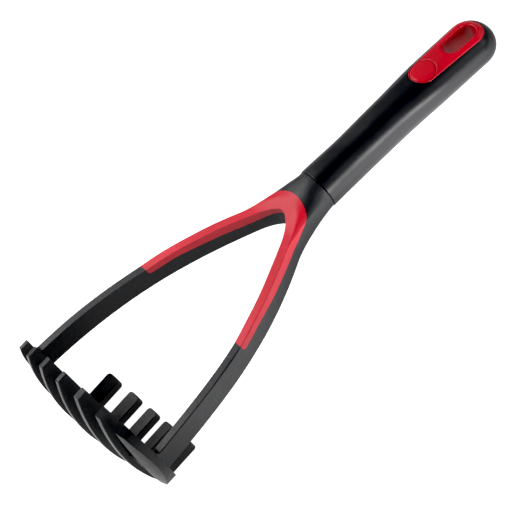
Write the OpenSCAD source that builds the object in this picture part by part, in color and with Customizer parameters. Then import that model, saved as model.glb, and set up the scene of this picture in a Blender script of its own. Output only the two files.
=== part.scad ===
// Potato masher with a wishbone frame: seven curved slats in an oval head, a row of
// upright teeth at the back of the head, two bowed arms that meet in a round neck,
// a soft overmoulded grip on the wishbone, and a hollow handle with a hanging insert.
//
// The part lies on its back: +Z is the front of the masher, +Y runs from the head to
// the end of the handle and +X is the right arm. The origin is under the middle of
// its bounding box. Each module is written in the masher's own upright frame (x across,
// y to the back, z up along the handle, 0 at the slat tops) and laid() lays it down.

/* [Head] */
// Reach of the middle slat in front of the head's middle
head_front = 38.8; // [35:0.1:43]
// Radius of the head's front outline
head_front_r = 77; // [70:1:95]
// Reach of the middle slat behind the head's middle
head_back = 38.2; // [35:0.1:43]
// Radius of the head's back outline
head_back_r = 95; // [80:1:130]
// Half width of the head, to the outer faces of the outer slats
head_half = 51.6; // [48:0.1:56]
// Depth of the sole below the slat tops, at its lowest
sole_depth = 14; // [12:0.1:17]
// Radius of the sole from front to back
sole_r = 108; // [95:1:140]
// Radius of the sole from side to side
sole_cross_r = 215; // [180:5:320]
// Distance of the sole's lowest line behind the head's middle
sole_y = 2; // [0:0.1:4]
// Radius of the sole's shoulders
shoulder_r = 27.5; // [20:0.5:34]
// Distance of the shoulders' start from the middle
shoulder_x = 38; // [34:0.5:42]

/* [Slats] */
// Thickness of the five inner slats
slat_t = 2.8; // [2.2:0.1:3.6]
// First pair of slats: distance from the middle at the front
near_front = 14.6; // [12.5:0.1:16]
// First pair of slats: distance from the middle at mid length
near_mid = 16.6; // [15:0.1:18]
// First pair of slats: distance from the middle at the back
near_back = 14.1; // [12.5:0.1:16]
// Second pair of slats: distance from the middle at the front
far_front = 28.4; // [26.5:0.1:30]
// Second pair of slats: distance from the middle at mid length
far_mid = 32.6; // [31:0.1:34]
// Second pair of slats: distance from the middle at the back
far_back = 31.6; // [29.5:0.1:33]
// Thickness of the outer slats at mid length
outer_t = 6.4; // [5:0.1:7.5]
// Radius of the outer slats' outer face, seen from above
outer_face_r = 45; // [42:0.5:52]
// Radius of the outer slats' inner face, seen from above
outer_inner_r = 74; // [66:1:84]
// Thickness of the cross ribs that join the slats
rib_t = 3; // [2:0.1:4]
// Height of the cross ribs
rib_h = 7; // [5:0.1:8]
// Depth of the cross ribs' top below the slat tops
rib_drop = 1.5; // [1:0.1:3]

/* [Teeth] */
// Height of a tooth above the slat tops
tooth_h = 17.6; // [13:0.1:21]
// Width of a tooth
tooth_w = 6.9; // [5:0.1:8]
// Depth of a tooth from front to back
tooth_d = 5.2; // [4:0.1:6]
// Distance from the head's middle to the middle tooth's front face
tooth_y = 33; // [30:0.1:34]
// Radius of the rounded top corners
tooth_r = 1.9; // [1:0.1:2.4]
// Turn of the first pair of teeth
tooth_turn = 11; // [6:0.5:16]
// Turn of the second pair of teeth
tooth_turn_far = 21; // [14:0.5:26]

/* [Wishbone] */
// Width of an arm at its foot, seen from the front
arm_w = 4.1; // [3.6:0.1:4.8]
// Width of an arm where it joins the neck
arm_w_top = 4.9; // [4.4:0.1:5.6]
// Depth of an arm's foot in front of the head's middle
arm_front = 6.4; // [5:0.1:8]
// Depth of an arm's foot behind the head's middle
arm_back = 7.2; // [6:0.1:9]
// Distance from the middle to an arm's centre line where it joins the neck
arm_top_x = 12.4; // [11:0.1:14]
// Height of that place above the slat tops
arm_top_z = 127; // [118:0.5:136]
// Fillet at the front of an arm's foot
foot_r = 2.5; // [1.5:0.1:3.5]
// Fillet at the back of an arm's foot
foot_back_r = 1.2; // [0.6:0.1:2]
// Radius of the arms' edges
edge_r = 0.6; // [0.4:0.1:1]
// Height of the fork, where the arms part
fork_z = 133.4; // [131:0.1:135]

/* [Neck] */
// Radius of the neck at the collar
neck_r = 11.5; // [10.5:0.1:12.5]
// Height of the collar joint above the slat tops
collar_z = 154.5; // [148:0.5:165]
// Distance of the neck's axis behind the head's middle, at the collar
collar_y = 10.6; // [9:0.1:12]
// Lean of the handle's axis at the collar
collar_lean = 4.2; // [2:0.1:7]
// Width of the tang inside the handle
tang_w = 13; // [10:0.1:15]
// Depth of the tang
tang_d = 9; // [7:0.1:11]
// Length of the tang
tang_l = 58; // [40:1:64]

/* [Overmould] */
// Thickness of the soft skin
skin_t = 1.2; // [0.8:0.1:1.6]
// Height of the skin's lower ends above the slat tops
skin_low_z = 66.8; // [55:0.1:80]
// Height of the skin's top edge on the neck
skin_top_z = 143.4; // [141:0.1:147]
// Reach of the skin behind the head's middle near its lower ends
skin_low_y = 2.6; // [1:0.1:4]
// Reach of the skin behind the head's middle at the neck
skin_neck_y = 8.3; // [6.5:0.1:10]

/* [Handle] */
// Half width of the handle at the collar
handle_rx = 12; // [11.6:0.1:13]
// Half depth of the handle
handle_ry = 11.6; // [11.5:0.1:12.5]
// Half width of the handle round the insert
grip_rx = 13.2; // [12.6:0.1:14.5]
// Half depth of the handle round the insert
grip_ry = 11.1; // [10.5:0.1:12]
// Height of the handle's end above the slat tops
handle_end_z = 276.7; // [270:0.5:290]
// Distance of the handle's end behind the head's middle
handle_end_y = 25.9; // [22:0.1:30]
// Length of the rounded end cap
cap_l = 15.6; // [12:0.1:18]
// Clearance between the tang and its socket
tang_gap = 0.15; // [0.1:0.05:0.3]
// Gap at the collar joint
collar_gap = 0.3; // [0.2:0.05:0.4]

/* [Insert] */
// Radius of the insert's lower end
insert_r = 7.8; // [7:0.1:8.4]
// Radius of the insert's upper end
insert_r_top = 9; // [8.4:0.1:9.6]
// Length of the insert's face
insert_l = 47.8; // [45:0.1:49]
// Distance from the handle's end to the insert's upper end, along the handle
insert_from_end = 3.6; // [2.8:0.1:5]
// Depth of the insert's face plate
insert_d = 4; // [3:0.1:6]
// Width of the hanging slot
slot_w = 10.6; // [8:0.1:11]
// Length of the hanging slot
slot_l = 20.6; // [16:0.1:21]
// Distance from the insert's upper end to the slot
slot_drop = 4; // [3.8:0.1:5]
// Wall of the sleeve that lines the slot
sleeve_t = 1.7; // [1.2:0.1:2]
// Radius of the round disc's groove on the insert's face
disc_r = 6.9; // [6:0.1:7]
// Width and depth of that groove
groove = 0.4; // [0.3:0.05:0.6]
// Gap between the insert and the handle
insert_gap = 0.1; // [0.05:0.05:0.2]

/* [Hidden] */

$fn = 96;
black = [0.10, 0.10, 0.11];
gloss = [0.07, 0.07, 0.08];
red = [0.80, 0.10, 0.22];
steps = 18;
big = 400;

// ---- curves -------------------------------------------------------------------

// Point at t on the cubic curve with the four control points p
function bez(p, t) =
  pow(1 - t, 3) * p[0] + 3 * t * pow(1 - t, 2) * p[1]
  + 3 * t * t * (1 - t) * p[2] + pow(t, 3) * p[3];
// Direction of travel at t on that curve
function bez_dir(p, t) =
  let (d = 3 * pow(1 - t, 2) * (p[1] - p[0]) + 6 * t * (1 - t) * (p[2] - p[1])
    + 3 * t * t * (p[3] - p[2]))
  d / norm(d);
function bez_pts(p, n = steps) = [for (i = [0:n]) bez(p, i / n)];
// Centre and radius of the circle through (x1, y1), (x2, 0) and (x3, y3)
function arc3(x1, y1, x2, x3, y3) =
  let (a = x1 - x2, b = y1, c = x3 - x2, d = y3, g = 2 * (a * d - b * c),
    u = (d * (a * a + b * b) - b * (c * c + d * d)) / g,
    v = (a * (c * c + d * d) - c * (a * a + b * b)) / g)
  [x2 + u, v, norm([u, v])];
// Offset of a concave fillet of radius r at the height z above its foot
function flare(r, z) = z >= r ? 0 : r - sqrt(r * r - (r - z) * (r - z));

// ---- placing ------------------------------------------------------------------

handle_axis = [[collar_y, collar_z],
  [collar_y + 35 * tan(collar_lean), collar_z + 35],
  [handle_end_y - 5.3, handle_end_z - 35], [handle_end_y, handle_end_z]];

// ---- head ---------------------------------------------------------------------

module head_outline(h) {
  intersection() {
    translate([0, head_front_r - head_front, -h])
      cylinder(r = head_front_r, h = h, $fn = 180);
    translate([0, head_back - head_back_r, -h])
      cylinder(r = head_back_r, h = h, $fn = 180);
  }
}

// Half section of the sole's body of revolution: radius across, width up
module sole_section() {
  a = asin(shoulder_x / sole_cross_r);
  intersection() {
    translate([sole_r - sole_cross_r, 0]) circle(r = sole_cross_r, $fn = 360);
    translate([sole_r / 2, -shoulder_x]) square([sole_r, 2 * shoulder_x]);
  }
  for (s = [-1, 1])
    translate([sole_r - sole_cross_r + (sole_cross_r - shoulder_r) * cos(a),
        s * (sole_cross_r - shoulder_r) * sin(a)])
      circle(r = shoulder_r, $fn = 180);
}

module sole() {
  translate([0, sole_y, sole_r - sole_depth])
    rotate([0, 90, 0])
      rotate_extrude($fn = 360) sole_section();
}

// Everything below the slat tops, inside the head's outline and above the sole
module head_blank() {
  intersection() {
    head_outline(sole_depth + 1);
    sole();
  }
}

// A slat whose middle line runs through three distances from the middle plane
module slat(xf, xm, xb) {
  c = arc3(xf, -head_front, xm, xb, head_back);
  intersection() {
    head_blank();
    translate([c[0], c[1], -sole_depth - 1])
      difference() {
        cylinder(r = c[2] + slat_t / 2, h = sole_depth + 1, $fn = 360);
        translate([0, 0, -1]) cylinder(r = c[2] - slat_t / 2, h = sole_depth + 3, $fn = 360);
      }
    translate([xm > 0 ? 0 : -head_half, -head_front - 1, -sole_depth - 1])
      cube([head_half, head_front + head_back + 2, sole_depth + 1]);
  }
}

module middle_slat() {
  intersection() {
    head_blank();
    translate([-slat_t / 2, -head_front - 1, -sole_depth - 1])
      cube([slat_t, head_front + head_back + 2, sole_depth + 1]);
  }
}

// Outer slat on the right: a crescent between two faces of different radius
module outer_slat() {
  intersection() {
    head_blank();
    translate([head_half - outer_face_r, 0, -sole_depth - 1])
      cylinder(r = outer_face_r, h = sole_depth + 1, $fn = 180);
    difference() {
      translate([shoulder_x - 8, -head_front - 1, -sole_depth - 1])
        cube([head_half, head_front + head_back + 2, sole_depth + 1]);
      translate([head_half - outer_t - outer_inner_r, 0, -sole_depth - 2])
        cylinder(r = outer_inner_r, h = sole_depth + 3, $fn = 240);
    }
  }
}

function near_arc() = arc3(near_front, -head_front, near_mid, near_back, head_back);
function far_arc() = arc3(far_front, -head_front, far_mid, far_back, head_back);

// Cross rib between the faces of two neighbouring slats, right half: i = 1, 2, 3
module cross_rib(i) {
  n = near_arc();
  f = far_arc();
  difference() {
    intersection() {
      translate([0, -rib_t / 2, -rib_drop - rib_h])
        cube([head_half, rib_t, rib_h]);
      if (i == 1)
        translate([n[0], n[1], -sole_depth])
          cylinder(r = n[2] - slat_t / 2, h = sole_depth, $fn = 360);
      if (i == 2)
        translate([f[0], f[1], -sole_depth])
          cylinder(r = f[2] - slat_t / 2, h = sole_depth, $fn = 360);
      if (i == 3)
        translate([head_half - outer_t - outer_inner_r, 0, -sole_depth])
          cylinder(r = outer_inner_r, h = sole_depth, $fn = 240);
    }
    if (i == 1)
      translate([-1, -rib_t, -sole_depth]) cube([1 + slat_t / 2, 2 * rib_t, sole_depth]);
    if (i == 2)
      translate([n[0], n[1], -sole_depth - 1])
        cylinder(r = n[2] + slat_t / 2, h = sole_depth + 2, $fn = 360);
    if (i == 3)
      translate([f[0], f[1], -sole_depth - 1])
        cylinder(r = f[2] + slat_t / 2, h = sole_depth + 2, $fn = 360);
  }
}

// ---- teeth --------------------------------------------------------------------

// Upright of a tooth seen from the front or the side: flat foot, rounded top corners
module round_top(w, h, r) {
  square([w, h - r]);
  translate([r, 0]) square([w - 2 * r, h]);
  translate([r, h - r]) circle(r = r, $fn = 48);
  translate([w - r, h - r]) circle(r = r, $fn = 48);
}

// Tooth whose foot stands on the slat at x, its face turned to follow the head's back
module tooth(x, y, turn) {
  s = tooth_w / 2 * tan(turn);
  translate([x, y, 0])
    intersection() {
      linear_extrude(height = tooth_h)
        polygon([[-tooth_w / 2, s], [tooth_w / 2, -s],
          [tooth_w / 2, tooth_d - s], [-tooth_w / 2, tooth_d + s]]);
      translate([-tooth_w / 2, tooth_d + 5, 0])
        rotate([90, 0, 0])
          linear_extrude(height = tooth_d + 10) round_top(tooth_w, tooth_h, tooth_r);
    }
}

// ---- wishbone -----------------------------------------------------------------

arm_curve = [[head_half - arm_w / 2, 0], [head_half - arm_w / 2 - 3.6, 50],
  [arm_top_x + 25, arm_top_z - 43], [arm_top_x, arm_top_z]];
arm_front_curve = [[-arm_front, 0], [-arm_front, 40], [-0.5, 60], [1.1, 122]];
arm_back_curve = [[arm_back, 0], [arm_back + 0.8, 40], [13.9, 80], [15, 122]];

function arm_half(t) = (arm_w + (arm_w_top - arm_w) * t) / 2;
function arm_edge(side) = [for (i = [0:steps])
  let (t = i / steps, c = bez(arm_curve, t), d = bez_dir(arm_curve, t))
  c + side * arm_half(t) * [d[1], -d[0]]];
function turned(pts) = [for (p = pts) [p[1], p[0]]];

// Outer side of the wishbone: the arm's outer edge, then the flank of the neck
arm_rows = 17;
arm_outer = [for (i = [0:arm_rows]) arm_edge(1)[i]];
flank_0 = arm_outer[arm_rows];
flank = bez_pts([flank_0, flank_0 + [-2, 4.6], [neck_r + 0.05, collar_z - 9.5],
  [neck_r, collar_z]], 16);
row_z = concat([-0.5, 0.5, 1.2, 2, 3], [for (i = [1:arm_rows]) arm_outer[i][1]],
  [for (i = [1:len(flank) - 1]) flank[i][1]], [collar_z + 2]);
side_table = turned(concat([arm_outer[0] - [0, 1]], arm_outer,
  [for (i = [1:len(flank) - 1]) flank[i]]));
front_table = turned(concat(bez_pts(arm_front_curve),
  bez_pts([[1.1, 122], [1.7, 137], [-0.9, collar_z - 16.5], [collar_y - neck_r, collar_z]])));
rear_table = turned(concat(bez_pts(arm_back_curve),
  bez_pts([[15, 122], [15.4, 134], [20, 143], [collar_y + neck_r, collar_z]])));
// Half width of the flat front, which ends in an arch under the round neck
arch_z = 138.7;
arch_table = turned(concat([flank_0 - [edge_r, 0]],
  bez_pts([[flank_0[0] - edge_r - 0.6, flank_0[1] + 1.4], [14.8, 127.3], [9.5, arch_z],
    [0, arch_z]])));
// Depth of the rounded corners: small on the arms, the whole radius at the collar
corner_table = [[flank_0[1], edge_r], [125, 1.4], [131, 3], [arch_z, 5.2], [146, 8],
  [collar_z, neck_r]];

// Section of the wishbone at the height z: a rectangle with elliptic corners
function section(z, inset) =
  let (a = lookup(z, side_table) - inset,
    f = lookup(z, front_table) - flare(foot_r, max(z, 0)) + inset,
    b = lookup(z, rear_table) + flare(foot_back_r, max(z, 0)),
    rx = z < flank_0[1] ? edge_r : z > arch_z ? a : max(edge_r, a - lookup(z, arch_table)),
    ry = min((b - f) / 2, lookup(z, corner_table)))
  [for (q = [0:3], k = [0:corner_n])
    let (w = 90 * (q + k / corner_n),
      x = (q == 0 || q == 3 ? 1 : -1) * (a - rx) + rx * cos(w),
      y = q < 2 ? b - ry + ry * sin(w) : f + ry + ry * sin(w))
    [x, y, z]];
corner_n = 9;

module wishbone_body(inset) {
  m = 4 * (corner_n + 1);
  rows = len(row_z);
  pts = [for (z = row_z) each section(z, inset)];
  polyhedron(pts, concat(
    [[for (j = [0:m - 1]) j]],
    [[for (j = [m - 1:-1:0]) (rows - 1) * m + j]],
    [for (i = [0:rows - 2], j = [0:m - 1])
      let (p = i * m + j, q = i * m + (j + 1) % m) each [[p, p + m, q + m], [p, q + m, q]]]));
}

// Space between the arms, seen from the front, closed by the rounded fork
module fork_space(grow) {
  inner = [for (p = arm_edge(-1)) if (p[1] < fork_z - 14) p];
  e = inner[len(inner) - 1];
  d = inner[len(inner) - 1] - inner[len(inner) - 2];
  g = 5.5 / norm(d) * d;
  half = concat([[inner[0][0], -5]], inner,
    bez_pts([e, e + g, [5.8, fork_z], [0, fork_z]], 12));
  translate([0, big / 2, 0]) rotate([90, 0, 0])
    linear_extrude(height = big)
      polygon(concat([for (p = half) p + [grow * (p[1] < fork_z - 3 ? 0.86 : 0), p[1] > 0 ? grow * 0.5 : 0]],
        [for (i = [len(half) - 2:-1:0]) let (p = half[i])
          [-p[0] - grow * (p[1] < fork_z - 3 ? 0.86 : 0), p[1] + (p[1] > 0 ? grow * 0.5 : 0)]]));
}

// Whole wishbone up to the collar joint; inset shrinks its front, its sides and its fork
module wishbone(inset = 0) {
  difference() {
    intersection() {
      wishbone_body(inset);
      for (m = [0, 1])
        mirror([m, 0, 0])
          translate([head_half - outer_face_r, 0, -1])
            union() {
              cylinder(r = outer_face_r - inset, h = collar_z + 20, $fn = 180);
              translate([-big, -big / 2, 0]) cube([big, big, collar_z + 20]);
            }
      translate([0, collar_y, collar_z])
        rotate([-collar_lean, 0, 0])
          translate([-big / 2, -big / 2, -big]) cube([big, big, big]);
      translate([-big / 2, -big / 2, 0]) cube([big, big, big]);
    }
    fork_space(inset);
  }
}

// Space in front of the skin's edge, seen from the side
skin_edge = concat(
  [for (a = [0:15:90]) [skin_low_y - 2.2 + 2.2 * sin(a), skin_low_z + 2.2 - 2.2 * cos(a)]],
  [for (i = [1:steps]) bez([[skin_low_y, skin_low_z + 2.2], [skin_low_y + 3.5, skin_low_z + 22],
    [skin_neck_y, 104], [skin_neck_y, skin_top_z - 23]], i / steps)],
  [for (i = [1:steps]) bez([[skin_neck_y, skin_top_z - 23], [skin_neck_y - 0.1, skin_top_z - 13],
    [3.2, skin_top_z - 5.5], [collar_y - neck_r - 0.8, skin_top_z]], i / steps)],
  [[-3, skin_top_z]]);
module skin_space() {
  rotate([90, 0, 90]) translate([0, 0, -big / 2])
    linear_extrude(height = big)
      polygon(concat([[-30, skin_low_z]], skin_edge, [[-30, skin_top_z]]));
}

split_z = 124;

module wishbone_core() {
  difference() {
    wishbone(0);
    difference() {
      skin_space();
      wishbone(skin_t);
    }
  }
}

module arm_right() {
  color(black)
    intersection() {
      wishbone_core();
      cube([big, big, 2 * split_z], center = true);
      translate([0, -big / 2, -1]) cube([big, big, big]);
    }
}

module neck() {
  color(black) {
    intersection() {
      wishbone_core();
      translate([-big / 2, -big / 2, split_z]) cube([big, big, big]);
    }
    translate([0, collar_y, collar_z])
      rotate([-collar_lean, 0, 0])
        translate([-tang_w / 2, -tang_d / 2, -1])
          cube([tang_w, tang_d, tang_l + 1]);
  }
}

module overmould() {
  color(red)
    difference() {
      intersection() {
        wishbone(0);
        skin_space();
      }
      wishbone(skin_t);
    }
}

// ---- handle -------------------------------------------------------------------

rings = 30;
sides = 48;
// Share of the way along the axis curve at ring i: even along the grip, closer at the cap
cap_t = 1 - cap_l / (handle_end_z - collar_z) * 0.93;
function smooth(a, b, v) = let (u = min(1, max(0, (v - a) / (b - a)))) u * u * (3 - 2 * u);
function ring_t(i) = i <= 18 ? cap_t * i / 18 : cap_t + (1 - cap_t) * sin(90 * (i - 18) / (rings - 18));
function ring_k(i) = i <= 18 ? 1 : cos(90 * (i - 18) / (rings - 18));
function ring_pts(i, inset) =
  let (t = ring_t(i), c = bez(handle_axis, t), d = bez_dir(handle_axis, t),
    k = ring_k(i), g = smooth(0.42, 0.68, t),
    rx = k * (handle_rx + (grip_rx - handle_rx) * g - inset),
    ry = k * (handle_ry + (grip_ry - handle_ry) * g - inset))
  [for (j = [0:sides - 1])
    let (a = 360 * j / sides, v = ry * sin(a))
    [rx * cos(a), c[0] + v * d[1], c[1] - v * d[0]]];

module handle_blank(inset = 0) {
  tip = bez(handle_axis, 1) - [0, inset];
  pts = concat([for (i = [0:rings - 1]) each ring_pts(i, inset)],
    [[0, handle_axis[0][0], handle_axis[0][1]], [0, tip[0], tip[1]]]);
  n = rings * sides;
  polyhedron(pts, concat(
    [for (i = [0:rings - 2], j = [0:sides - 1])
      let (a = i * sides + j, b = i * sides + (j + 1) % sides) [a, a + sides, b + sides, b]],
    [for (j = [0:sides - 1]) [n, j, (j + 1) % sides]],
    [for (j = [0:sides - 1]) [n + 1, (rings - 1) * sides + (j + 1) % sides, (rings - 1) * sides + j]]));
}

// Frame of the insert: square to the handle's axis at its middle
insert_t = 0.79;
insert_c = bez(handle_axis, insert_t);
insert_dir = bez_dir(handle_axis, insert_t);
insert_lean = atan2(insert_dir[0], insert_dir[1]);
// Places along the handle, up from there: the insert's ends, its slot and its disc
insert_top = (handle_end_z - insert_c[1]) / cos(insert_lean) - insert_from_end;
slot_up = insert_top - slot_drop - slot_l / 2;
disc_up = insert_top - insert_l + insert_r;

module at_insert() {
  translate([0, insert_c[0], insert_c[1]])
    rotate([-insert_lean, 0, 0])
      children();
}

// Outline round two circles: r1 about z1 and, above it, r2 about z2
function bar_pts(r1, z1, r2, z2, n = 24) =
  let (p = asin((r2 - r1) / (z2 - z1)))
  concat([for (i = [0:n]) let (w = -p + (180 + 2 * p) * i / n) [r2 * cos(w), z2 + r2 * sin(w)]],
    [for (i = [0:n]) let (w = 180 + p + (180 - 2 * p) * i / n) [r1 * cos(w), z1 + r1 * sin(w)]]);

// Prism from y1 to y2 on that outline
module rounded_bar(r1, z1, r2, z2, y1, y2) {
  translate([0, y2, 0])
    rotate([90, 0, 0])
      linear_extrude(height = y2 - y1) polygon(bar_pts(r1, z1, r2, z2));
}

module slot_bar(grow, y1, y2) {
  r = slot_w / 2 + grow;
  d = slot_l - slot_w;
  translate([0, y2, slot_up])
    rotate([90, 0, 0])
      linear_extrude(height = y2 - y1) {
        square([2 * r, d], center = true);
        for (s = [-1, 1])
          translate([0, s * d / 2]) circle(r = r);
      }
}

// What the insert takes out of the handle, grown by gap
module insert_space(gap) {
  at_insert() {
    rounded_bar(insert_r + gap, disc_up, insert_r_top + gap, insert_top - insert_r_top,
      -20, -grip_ry + insert_d);
    slot_bar(sleeve_t + gap, -20, 20);
  }
}

module handle_shell() {
  color(gloss)
    difference() {
      handle_blank();
      insert_space(insert_gap);
      translate([0, collar_y, collar_z])
        rotate([-collar_lean, 0, 0]) {
          translate([-tang_w / 2 - tang_gap, -tang_d / 2 - tang_gap, -1])
            cube([tang_w + 2 * tang_gap, tang_d + 2 * tang_gap, tang_l + 1 + tang_gap]);
          translate([-20, -20, -5]) cube([40, 40, 5 + collar_gap]);
        }
    }
}

module hang_insert() {
  color(red)
    difference() {
      intersection() {
        handle_blank();
        insert_space(0);
      }
      at_insert() slot_bar(0, -30, 30);
      difference() {
        at_insert()
          translate([0, -5, disc_up])
            rotate([90, 0, 0])
              difference() {
                cylinder(r = disc_r, h = 20);
                translate([0, 0, -1]) cylinder(r = disc_r - groove, h = 22);
              }
        handle_blank(groove);
      }
    }
}

// ---- laying down --------------------------------------------------------------

// The masher rests on the top of its middle tooth and on the handle's back, which
// touches at one end of the slot
back_table = [for (i = [0:rings - 1])
  let (t = ring_t(i), c = bez(handle_axis, t), d = bez_dir(handle_axis, t), k = ring_k(i) * grip_ry)
  [c[1] - k * d[0], c[0] + k * d[1]]];
slot_ends = [for (s = [-1, 1])
  insert_c[1] + (slot_up + s * slot_l / 2) * cos(insert_lean) - grip_ry * sin(insert_lean)];
lean = min([for (z = slot_ends) atan2(head_back - lookup(z, back_table), z - tooth_h)]);
laid_end = handle_end_z * cos(lean) - handle_end_y * sin(lean);
laid_sole = sole_depth * cos(lean) + sole_y * sin(lean);

module laid() {
  translate([0, (laid_sole - laid_end) / 2, head_back * cos(lean) + tooth_h * sin(lean)])
    rotate([-90 - lean, 0, 0])
      children();
}

// ---- the nodes ----------------------------------------------------------------

module tooth_near() { tooth(near_back, tooth_y - 1.7, tooth_turn); }
module tooth_far() { tooth(far_back, tooth_y - 2.4, tooth_turn_far); }
module left() { mirror([1, 0, 0]) children(); }

laid() color(black) left() outer_slat();  // slat_1
laid() color(black) left() slat(far_front, far_mid, far_back);  // slat_2
laid() color(black) left() slat(near_front, near_mid, near_back);  // slat_3
laid() color(black) middle_slat();  // slat_4
laid() color(black) slat(near_front, near_mid, near_back);  // slat_5
laid() color(black) slat(far_front, far_mid, far_back);  // slat_6
laid() color(black) outer_slat();  // slat_7
laid() color(black) left() cross_rib(3);  // cross_rib_1
laid() color(black) left() cross_rib(2);  // cross_rib_2
laid() color(black) left() cross_rib(1);  // cross_rib_3
laid() color(black) cross_rib(1);  // cross_rib_4
laid() color(black) cross_rib(2);  // cross_rib_5
laid() color(black) cross_rib(3);  // cross_rib_6
laid() color(black) left() tooth_far();  // tooth_1
laid() color(black) left() tooth_near();  // tooth_2
laid() color(black) tooth(0, tooth_y, 0);  // tooth_3
laid() color(black) tooth_near();  // tooth_4
laid() color(black) tooth_far();  // tooth_5
laid() left() arm_right();  // arm_left
laid() arm_right();
laid() neck();
laid() overmould();
laid() handle_shell();
laid() hang_insert();
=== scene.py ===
"""Potato masher lying on its back: a black nylon frame with a soft red grip skin,
a glossy black handle and a red hanging insert, on a plain pale floor."""

from __future__ import annotations

import logging
import math
from dataclasses import dataclass, field
from enum import Enum

import bmesh
import bpy
from mathutils import Matrix, Vector

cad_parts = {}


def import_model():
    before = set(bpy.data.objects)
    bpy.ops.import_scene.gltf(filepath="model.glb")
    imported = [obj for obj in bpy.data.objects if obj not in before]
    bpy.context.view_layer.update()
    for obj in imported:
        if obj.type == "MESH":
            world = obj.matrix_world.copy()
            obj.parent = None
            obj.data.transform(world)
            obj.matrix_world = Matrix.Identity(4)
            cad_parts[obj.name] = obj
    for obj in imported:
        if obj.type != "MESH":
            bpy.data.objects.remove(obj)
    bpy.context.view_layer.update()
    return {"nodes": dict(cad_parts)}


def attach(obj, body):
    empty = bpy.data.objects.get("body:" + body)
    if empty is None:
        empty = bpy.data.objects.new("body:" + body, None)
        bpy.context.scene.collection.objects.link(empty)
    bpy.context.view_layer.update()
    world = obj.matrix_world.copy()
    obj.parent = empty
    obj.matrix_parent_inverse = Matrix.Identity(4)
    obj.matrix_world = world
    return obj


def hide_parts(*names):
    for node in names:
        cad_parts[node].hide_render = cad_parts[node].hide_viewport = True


log = logging.getLogger("masher")

MM = 0.001
BODY = "root"

# The masher is written in its own upright frame: x across, y to the back and z up along
# the handle, 0 at the slat tops, in millimetres. It is laid on its back like this.
LEAN = math.radians(0.789179)
LAID_SHIFT = (0.0, -0.131145, 0.0384388)
LAID = Matrix(
    (
        (MM, 0.0, 0.0, LAID_SHIFT[0]),
        (0.0, -math.sin(LEAN) * MM, math.cos(LEAN) * MM, LAID_SHIFT[1]),
        (0.0, -math.cos(LEAN) * MM, -math.sin(LEAN) * MM, LAID_SHIFT[2]),
        (0.0, 0.0, 0.0, 1.0),
    )
)
LIFTED = LAID.inverted()
UP = (LAID.to_3x3() @ Vector((0.0, 0.0, 1.0 / MM))).normalized()

# The handle leaves the collar at this angle, in degrees to the back.
HANDLE_LEAN = 4.2
# Length of the handle's axis, in millimetres, as the roundings and the normals count it.
AXIS_LENGTH = 127.0


class Slot(Enum):
    """Material slots of the part."""

    FRAME = "frame_nylon"
    HANDLE = "handle_plastic"
    SKIN = "soft_skin"
    INSERT = "insert_plastic"


# ---- finishes -------------------------------------------------------------------


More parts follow.
